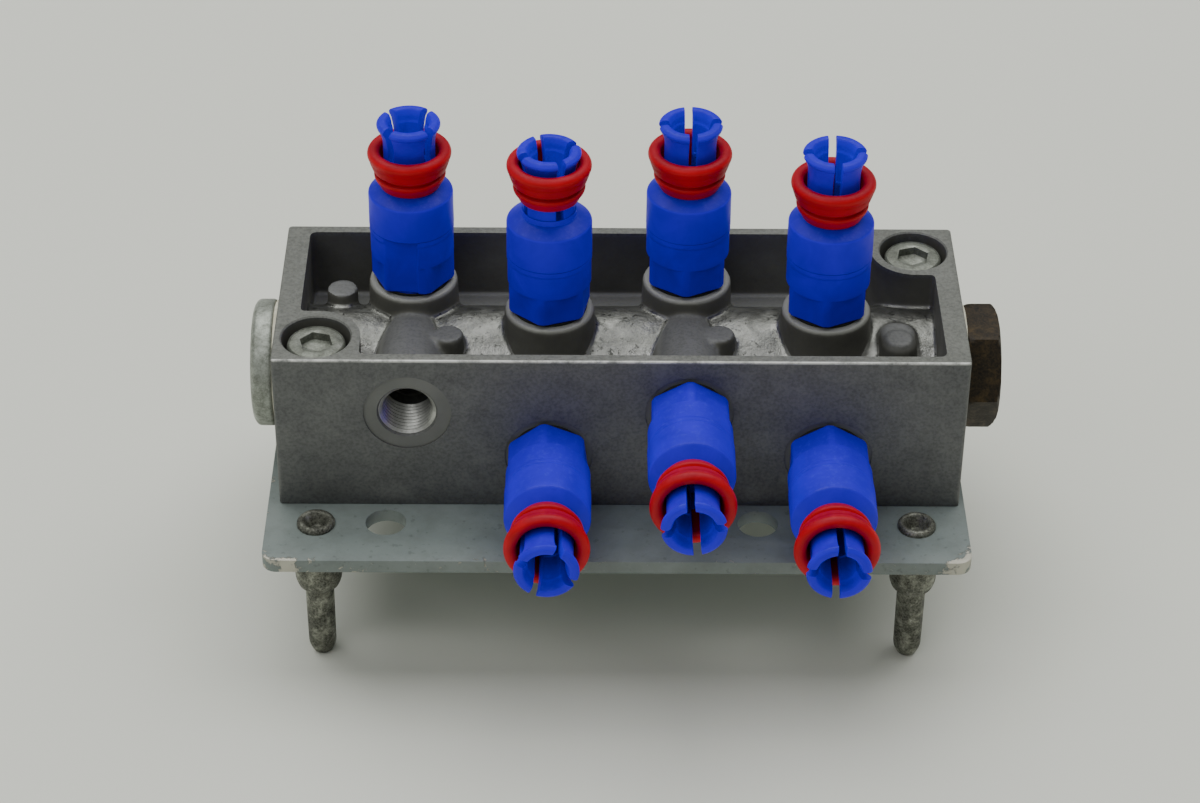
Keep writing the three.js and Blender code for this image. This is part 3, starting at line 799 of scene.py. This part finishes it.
# ------------------------ plate and rivets
def make_plate(material):
    low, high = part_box("base_plate")
    origin = Vector((0, 0, high.z))
    plate = rounded_slab("plate", (low - origin) / MM, (high - origin) / MM, PLATE["corner"], 10)
    depth = (high.z - low.z) / MM
    tools = []
    for sign_y in (-1, 1):
        for node in ("rivet_front_left", "rivet_front_right"):
            centre = middle_of(node)
            y = high.y + low.y - centre.y if sign_y > 0 else centre.y
            tools.append(round_tool(centre.x / MM, y / MM, PLATE["rivet_hole"], depth))
    block_low, block_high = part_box("manifold_block")
    centre = (block_low + block_high) / 2 / MM
    for sign_y in (-1, 1):
        for x in PLATE["hole_x"]:
            hole_y = centre.y + sign_y * PLATE["hole_y"]
            tools.append(round_tool(centre.x + x, hole_y, PLATE["hole"], depth))
        tools.append(round_tool(centre.x + sign_y * SCREW_BOSS["x"], centre.y + sign_y * SCREW_BOSS["y"],
                                SCREW_BOSS["hole"], depth))
    cut(plate, tools)
    bevelled(plate, PLATE["edge"], 3, 40)
    moved(plate, Matrix.Translation(origin) @ Matrix.Scale(MM, 4))
    shaded(plate, 40)
    return finished(plate, "painted_plate", "base_plate", material)


def round_tool(x, y, radius, depth):
    return moved(lofted("hole", [(0.001, -depth - 1), (radius, -depth - 1), (radius, 1), (0.001, 1)], 64),
                 at(x, y, 0))


def middle_of(node):
    low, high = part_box(node)
    return (low + high) / 2


def make_rivet(node, material):
    """Blind rivet: dished head, bulged sleeve and long tail, heights from the top of the plate."""
    plate_low, plate_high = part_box("base_plate")
    centre = middle_of(node)
    outline = filleted([
        (0.001, -1.2, 0), (1.1, -1.2, 0.3), (1.75, 0.35, 0.5), (2.25, 1.0, 0.4), (2.85, 1.0, 0.35),
        (3.3, 0.45, 0.35), (3.3, 0.0, 0), (2.5, 0.0, 0), (2.5, -2.5, 0), (3.9, -2.5, 0.4), (4.1, -4.5, 1.0),
        (4.1, -11.2, 1.4), (3.5, -12.9, 0.5), (2.5, -13.05, 0.3), (2.42, -26.3, 0.8), (1.6, -28.3, 0.9),
        (0.001, -28.3, 0),
    ], 5)
    rivet = lofted("rivet", outline, 64)
    moved(rivet, Matrix.Translation((centre.x, centre.y, plate_high.z)) @ Matrix.Scale(MM, 4))
    shaded(rivet, 50)
    return finished(rivet, f"{node}_metal", node, material)


# ------------------------ screws and plugs
def make_screw(node, material, turn):
    low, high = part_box(node)
    centre = (low + high) / 2
    head = SCREW["head"]
    shank = SCREW["shank"]
    neck = SCREW["under_head"]
    end = SCREW["end"]
    socket = hex_radius(SCREW["key"])
    rows = filleted([
        (0.001, end, 0), (shank - 0.6, end, 0.1), (shank, end + 0.8, 0.2), (shank, neck, 0.2),
        (head, neck, 0.2), (head, -0.55, 0.35), (head - 0.5, 0, 0.25),
    ])
    rows += [(3.3, 0.0), (3.1, -0.04), (hex_radius(2.56), -0.12), (socket, -0.3), (socket, -1.5),
             (hex_radius(2.2), -1.6), (0.4, -2.0), (0.001, -2.05)]
    screw = lofted("screw", rows, 96)
    moved(screw, Matrix.Translation((centre.x, centre.y, high.z)) @ Matrix.Rotation(turn, 4, "Z")
          @ Matrix.Scale(MM, 4))
    shaded(screw, 35)
    return finished(screw, f"{node}_steel", node, material)


def make_nut(node, material):
    low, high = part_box(node)
    centre = (low + high) / 2
    outer = hex_radius(5.0, math.pi / 6)
    rounded = hex_radius(5.0, math.pi / 6, 0.35)
    rows = [(3.1, 0.1), (3.5, 0.0), (4.9, 0.0), (rounded, 0.4), (outer, 0.75), (outer, 4.25), (rounded, 4.6),
            (4.9, 5.0), (3.5, 5.0), (3.1, 4.9)]
    nut = lofted("nut", rows, 96, closed=True)
    moved(nut, Matrix.Translation((centre.x, centre.y, low.z)) @ Matrix.Scale(MM, 4))
    shaded(nut, 30)
    return finished(nut, f"{node}_steel", node, material)


def plug_matrix(side):
    """Turns +Z to the outward direction of an end plug, on the block's end face."""
    low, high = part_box("manifold_block")
    seal_low, seal_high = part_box("end_plug_left_seal" if side < 0 else "end_plug_right_seal")
    centre = (seal_low + seal_high) / 2
    x = low.x if side < 0 else high.x
    return (Matrix.Translation((x, centre.y, centre.z)) @ Matrix.Rotation(side * math.pi / 2, 4, "Y")
            @ Matrix.Scale(MM, 4))


def plug_stub():
    return [(0.001, -2.5), (4.9, -2.5), (5.0, -9.0), (7.4, -9.0), (8.0, -8.4), (8.2, -1.0), (8.2, 1.4)]


def make_round_plug(material):
    socket = hex_radius(4.0)
    head = [(8.2, 1.5)] + filleted([(8.2, 1.5, 0), (11.0, 1.5, 0.2), (11.2, 1.9, 0.2), (11.2, 4.6, 0.9),
                                    (10.0, 5.3, 0.5), (7.0, 5.3, 0.2)])
    keyway = [(5.3, 5.3), (5.0, 5.2), (hex_radius(4.08), 4.95), (socket, 4.6), (socket, 0.2), (0.5, -0.6),
              (0.001, -0.65)]
    rows = plug_stub() + head + keyway
    plug = lofted("plug", rows, 96)
    shaded(moved(plug, plug_matrix(-1)), 35)
    return finished(plug, "round_plug", "end_plug_left", material)


def make_hex_plug(material):
    flat = 9.5
    turn = 0.0

    def head(limit):
        hexagon = hex_radius(flat, turn)
        return lambda angle: min(hexagon(angle), limit)

    rows = plug_stub() + [(8.2, 1.5), (10.2, 1.5), (head(10.6), 1.7), (head(10.85), 2.1), (head(10.95), 3.0),
                          (head(10.95), 6.4), (head(10.7), 6.75), (head(10.2), 7.1), (head(9.6), 7.35),
                          (9.1, 7.4),
                          (7.6, 7.4), (7.2, 7.2), (0.001, 7.2)]
    plug = lofted("plug", rows, 96)
    shaded(moved(plug, plug_matrix(1)), 30)
    return finished(plug, "hex_plug", "end_plug_right", material)


def make_plug_seal(side, material):
    name = "end_plug_left_seal" if side < 0 else "end_plug_right_seal"
    rows = filleted([(8.4, 0, 0.1), (11.0, 0, 0.45), (11.1, 0.75, 0.4), (11.0, 1.5, 0.45), (8.4, 1.5, 0.1)])
    seal = lofted("seal", rows, 96, closed=True)
    shaded(moved(seal, plug_matrix(side)), 50)
    return finished(seal, f"{name}_ring", name, material)


# ------------------------ push-in fittings
def outer_radius(z):
    """Radius of the round part of the housing at a height."""
    step = min(1.0, max(0.0, (z - BODY["sleeve"]) / 0.2))
    return BODY_RADIUS["middle"] + (BODY_RADIUS["sleeve"] - BODY_RADIUS["middle"]) * step


def body_section(z):
    """Radius of the housing at a height, as a function of the angle. The label flat faces -Y."""
    round_part = outer_radius(z)
    hexagon = hex_radius(BODY_RADIUS["flat"], -math.pi / 2)

    def radius(angle):
        outer = round_part
        if z < BODY["flats_top"]:
            outer = min(outer, hexagon(angle))
        offset = (angle + math.pi / 2 + math.pi) % (2 * math.pi) - math.pi
        if z < BODY["label_top"] and abs(offset) < math.pi / 3:
            if LABEL["distance"] * math.tan(offset) < LABEL["right"]:
                outer = min(outer, LABEL["distance"] / math.cos(offset))
        return outer

    return radius


def make_body(label, place, turn, material):
    bottom = BODY["bottom"]
    r = BODY_RADIUS
    rows = [(6.0, bottom), (6.2, bottom)]
    for z, inset in ((bottom + 0.02, 0.3), (bottom + 0.15, 0.12), (bottom + 0.35, 0.0)):
        section = body_section(z)
        rows.append((lambda a, s=section, i=inset: s(a) - i, z))
    heights = [1.6, 3.0, 4.5, 5.8, 6.03, 6.06, 6.4, 7.4, 9.0, 10.2, 10.38, 10.45, 10.62, 10.8, 11.4, 11.47,
               11.52, 11.54]
    rows += [(body_section(z), z) for z in heights]
    rows += [(r["sleeve"] - 0.24, BODY["seam"]), (r["sleeve"] + 0.03, BODY["seam"] + 0.06)]
    rows += filleted([
        (r["sleeve"], 15.0, 0), (r["sleeve"], BODY["shoulder"], 0.35), (r["crown"], CROWN_TOP, 0.15),
        (r["nose"], CROWN_TOP + 0.03, 0.1), (r["nose"], NOSE_TOP, 0.1), (r["mouth"], NOSE_TOP, 0.1),
        (r["mouth"], 11.1, 0),
    ])
    rows += [(4.95, 11.1), (4.95, 6.2), (2.5, 6.2), (2.5, 4.4), (4.0, 4.4), (4.0, bottom)]
    body = lofted("body", rows, FITTING_SEGMENTS, closed=True)
    moved(body, place @ Matrix.Rotation(turn, 4, "Z") @ Matrix.Scale(MM, 4))
    shaded(body, 28)
    return finished(body, f"{label}_housing", f"{label}_body", material)


def collet_outline():
    c = COLLET
    return filleted([
        (c["bore"], c["slot_bottom"], 0), (c["neck"], c["slot_bottom"], 0), (c["neck"], 28.4, 1.8),
        (5.0, 30.45, 0.3), (5.38, 30.78, 0.25), (5.5, 31.35, 0.4), (4.95, c["top"], 0.3),
        (3.9, c["top"], 0.35), (3.45, 30.9, 0.3), (3.3, 30.0, 0.3), (c["bore"], 29.6, 0.2),
        (c["bore"], 24.0, 0),
        (c["bore"] - 0.25, 23.8, 0), (c["bore"] - 0.25, 23.2, 0), (c["bore"], 22.9, 0),
    ], 5)


def petal(outline, start):
    """A quarter of the collet between two slots with parallel walls."""
    steps = 14
    half_slot = COLLET["slot"] / 2
    vertices = []
    for r, z in outline:
        gap = math.asin(half_slot / r)
        for k in range(steps + 1):
            angle = start + gap + (math.pi / 2 - 2 * gap) * k / steps
            vertices.append((r * math.cos(angle), r * math.sin(angle), z))
    width = steps + 1
    count = len(outline)
    faces = []
    for i in range(count):
        low = i * width
        high = ((i + 1) % count) * width
        faces += [(low + k, low + k + 1, high + k + 1, high + k) for k in range(steps)]
    faces.append(tuple(i * width for i in range(count)))
    faces.append(tuple(i * width + steps for i in range(count)))
    return object_from_data("petal", vertices, faces)


def make_collet(label, place, turn, material):
    c = COLLET
    petals = [bevelled(petal(collet_outline(), k * math.pi / 2), 0.07, 2, 60) for k in range(4)]
    sleeve = [(c["bore"], c["bottom"]), (4.8, c["bottom"]), (4.8, 10.8), (c["neck"], 11.0),
              (c["neck"], c["slot_bottom"] + 0.1), (c["bore"], c["slot_bottom"] + 0.1)]
    collet = joined("collet", [*petals, lofted("sleeve", sleeve, 64, closed=True)])
    moved(collet, place @ Matrix.Rotation(turn, 4, "Z") @ Matrix.Scale(MM, 4))
    shaded(collet, 50)
    return finished(collet, f"{label}_petals", f"{label}_collet", material,
                    f"{label}_release_collet")


def make_lock_ring(label, place, lift, material):
    outline = filleted([
        (4.66, 0.25, 0.1), (4.75, 0.0, 0.1), (5.15, 0.02, 0.2), (5.55, 0.9, 0.4), (6.1, 1.7, 0.4),
        (6.2, 2.4, 0.3), (5.5, 2.7, 0.12), (5.5, 3.1, 0.1), (6.35, 3.4, 0.25), (6.65, 4.3, 0.5),
        (6.95, 5.2, 0.4),
    ], 4)
    outline += arc_points(6.13, 6.2, 1.08, -28, 185, 20)
    outline += [(5.03, 5.4), (4.85, 4.4), (4.72, 3.2)]
    ring = lofted("ring", outline, 128, closed=True)
    bottom = CROWN_TOP + RING_GAP + lift
    moved(ring, place @ Matrix.Scale(MM, 4) @ at(0, 0, bottom))
    shaded(ring, 60)
    return finished(ring, f"{label}_red_ring", f"{label}_lock_ring", material, f"{label}_lock")


def make_base_seal(label, place, material):
    rows = filleted([(4.85, 0.0, 0.1), (6.45, 0.0, 0.2), (6.5, 0.25, 0.1), (6.45, 0.5, 0.2),
                     (4.85, 0.5, 0.1)], 3)
    seal = lofted("seal", rows, 96, closed=True)
    shaded(moved(seal, place @ Matrix.Scale(MM, 4)), 50)
    return finished(seal, f"{label}_base_ring", f"{label}_base_seal", material)


def make_tube_seal(label, place, material):
    rows = arc_points(3.93, 7.2, 0.86, 0, 345, 23)
    seal = lofted("seal", rows, 64, closed=True)
    shaded(moved(seal, place @ Matrix.Scale(MM, 4)), 60)
    return finished(seal, f"{label}_inner_ring", f"{label}_tube_seal", material)


def make_nipple(label, place, material):
    rows = [(3.8, 0.5), (3.8, 4.4), (2.5, 4.4), (2.5, -6.2), (4.1, -6.2)]
    turns = 6
    steps = 6
    for k in range(turns * steps + 1):
        z = -6.1 + k * THREAD_PITCH / steps
        rows.append((helix_radius(4.15, 0.52, z), z))
    rows += [(4.2, -0.4), (4.7, 0.0), (4.7, 0.5)]
    nipple = lofted("nipple", rows, 64, closed=True)
    shaded(moved(nipple, place @ Matrix.Scale(MM, 4)), 40)
    return finished(nipple, f"{label}_thread", f"{label}_nipple", material)


def fitting_place(label):
    seat = seat_of(label)
    turn = Matrix.Identity(4) if label.startswith("top") else upright_to_front()
    return Matrix.Translation(seat) @ turn


def ring_lift(label):
    """How far the lock ring sits above its lowest place, from the CAD model."""
    seal_low, seal_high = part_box(f"{label}_base_seal")
    low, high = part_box(f"{label}_lock_ring")
    height = (low.z - seal_low.z) if label.startswith("top") else (seal_high.y - high.y)
    return height / MM - CROWN_TOP - RING_GAP


# Turns of each fitting's hex housing and of its collet about its own axis, in degrees.
TURNS = {
    "top_1": (-6, 48), "top_2": (139, 25), "top_3": (147, 4), "top_4": (146, 3),
    "front_2": (37, -26), "front_3": (30, 8), "front_4": (30, -4),
}


def make_fitting(label, paints):
    place = fitting_place(label)
    body_turn, collet_turn = (math.radians(a) for a in TURNS[label])
    make_body(label, place, body_turn, paints["blue_plastic"])
    make_collet(label, place, collet_turn, paints["blue_plastic"])
    make_lock_ring(label, place, ring_lift(label), paints["red_plastic"])
    make_base_seal(label, place, paints["black_rubber"])
    make_tube_seal(label, place, paints["black_rubber"])
    make_nipple(label, place, paints["brass"])


# ------------------------ assembling
def finished(obj, name, node, material, body="distributor"):
    """Names a piece, gives it its finish and hangs it on its body."""
    obj.name = name
    obj.data.name = name
    obj.data.materials.clear()
    obj.data.materials.append(material)
    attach(obj, body)
    if node:
        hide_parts(*([node] if isinstance(node, str) else node))
    return obj


def make_paints(block):
    plate_low, plate_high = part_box("base_plate")
    return {
        "cast_aluminium": cast_aluminium(block.low, block.high),
        "grey_paint": grey_paint(plate_low, plate_high),
        "blue_plastic": moulded_plastic("blue_plastic", (40, 0, 226), (48, 6, 244), (90, 100, 236)),
        "red_plastic": moulded_plastic("red_plastic", (186, 0, 20), (208, 0, 24), (218, 60, 66)),
        "zinc_steel": aged_metal("zinc_steel", (84, 87, 78), (118, 122, 112), (150, 154, 144), 0.6, 0.42),
        # A lighter copy of the zinc for the round plug: painted highlight.
        "zinc_painted_highlight": aged_metal("zinc_painted_highlight", (110, 114, 104), (150, 155, 146), (182, 187, 178), 0.5, 0.4),
        "machined_aluminium": aged_metal("machined_aluminium", (150, 151, 147), (176, 177, 172),
                                         (200, 201, 196), 0.7, 0.3, 0.004),
        "worn_steel": aged_metal("worn_steel", (36, 36, 32), (92, 93, 83), (172, 174, 160), 0.6, 0.45),
        "dark_brass": aged_metal("dark_brass", (16, 13, 9), (36, 30, 20), (84, 68, 40), 0.4, 0.42),
        "brass": aged_metal("brass", (150, 122, 60), (190, 158, 88), (214, 186, 118), 0.9, 0.3),
        "cream_seal": soft_seal("cream_seal", (206, 202, 178), (240, 238, 220), 0.55),
        "black_rubber": soft_seal("black_rubber", (16, 16, 16), (34, 34, 33), 0.6),
    }


def make_object(block, paints):
    make_block(block, paints["cast_aluminium"])
    make_port_thread(block, paints["machined_aluminium"])
    make_plate(paints["grey_paint"])
    for row in ("front", "back"):
        for side in ("left", "right"):
            make_rivet(f"rivet_{row}_{side}", paints["worn_steel"])
    for side, turn in (("left", 0.25), ("right", -0.2)):
        make_screw(f"cap_screw_{side}", paints["zinc_steel"], turn)
        make_nut(f"screw_nut_{side}", paints["zinc_steel"])
    make_round_plug(paints["zinc_painted_highlight"])
    make_hex_plug(paints["dark_brass"])
    for side in (-1, 1):
        make_plug_seal(side, paints["cream_seal"])
    for label in TURNS:
        make_fitting(label, paints)


def make_floor(material):
    vertices = [(-3, -3, 0), (3, -3, 0), (3, 3, 0), (-3, 3, 0)]
    floor = object_from_data("floor", vertices, [(0, 1, 2, 3)])
    floor.data.materials.append(material)


def add_light(name, place, target, size, energy):
    data = bpy.data.lights.new(name, "AREA")
    data.shape = "RECTANGLE"
    data.size, data.size_y = size
    data.energy = energy
    lamp = bpy.data.objects.new(name, data)
    bpy.context.scene.collection.objects.link(lamp)
    lamp.location = place
    lamp.rotation_euler = (Vector(target) - Vector(place)).to_track_quat("-Z", "Y").to_euler()


def make_lights():
    world = bpy.data.worlds.new("studio")
    world.use_nodes = True
    world.node_tree.nodes["Background"].inputs["Color"].default_value = (0.9, 0.93, 0.9, 1)
    world.node_tree.nodes["Background"].inputs["Strength"].default_value = 0.2
    bpy.context.scene.world = world
    add_light("ceiling", (0.0, 0.4, 1.4), (0, 0.05, 0), (2.4, 1.4), 30.0)
    add_light("window", (-0.5, -0.75, 1.05), (0, 0, 0.04), (1.0, 0.6), 4.0)


def make_camera(block):
    azimuth = math.radians(CAMERA["azimuth"])
    elevation = math.radians(CAMERA["elevation"])
    roll = math.radians(CAMERA["roll"])
    back = Vector((math.sin(azimuth) * math.cos(elevation), -math.cos(azimuth) * math.cos(elevation),
                   math.sin(elevation)))
    right = Vector((math.cos(azimuth), math.sin(azimuth), 0.0))
    up = back.cross(right)
    turned_right = right * math.cos(roll) + up * math.sin(roll)
    turned_up = up * math.cos(roll) - right * math.sin(roll)
    data = bpy.data.cameras.new("camera")
    data.lens = CAMERA["lens"]
    data.sensor_width = 36.0
    data.clip_start = 0.01
    camera = bpy.data.objects.new("camera", data)
    bpy.context.scene.collection.objects.link(camera)
    target = block.origin + Vector(CAMERA["target"]) * MM
    place = target + back * CAMERA["distance"] * MM
    basis = Matrix((turned_right, turned_up, back)).transposed().to_4x4()
    camera.matrix_world = Matrix.Translation(place) @ basis
    bpy.context.scene.camera = camera


def main():
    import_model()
    block = Block()
    make_camera(block)
    make_lights()
    make_floor(studio_floor())
    make_object(block, make_paints(block))


main()
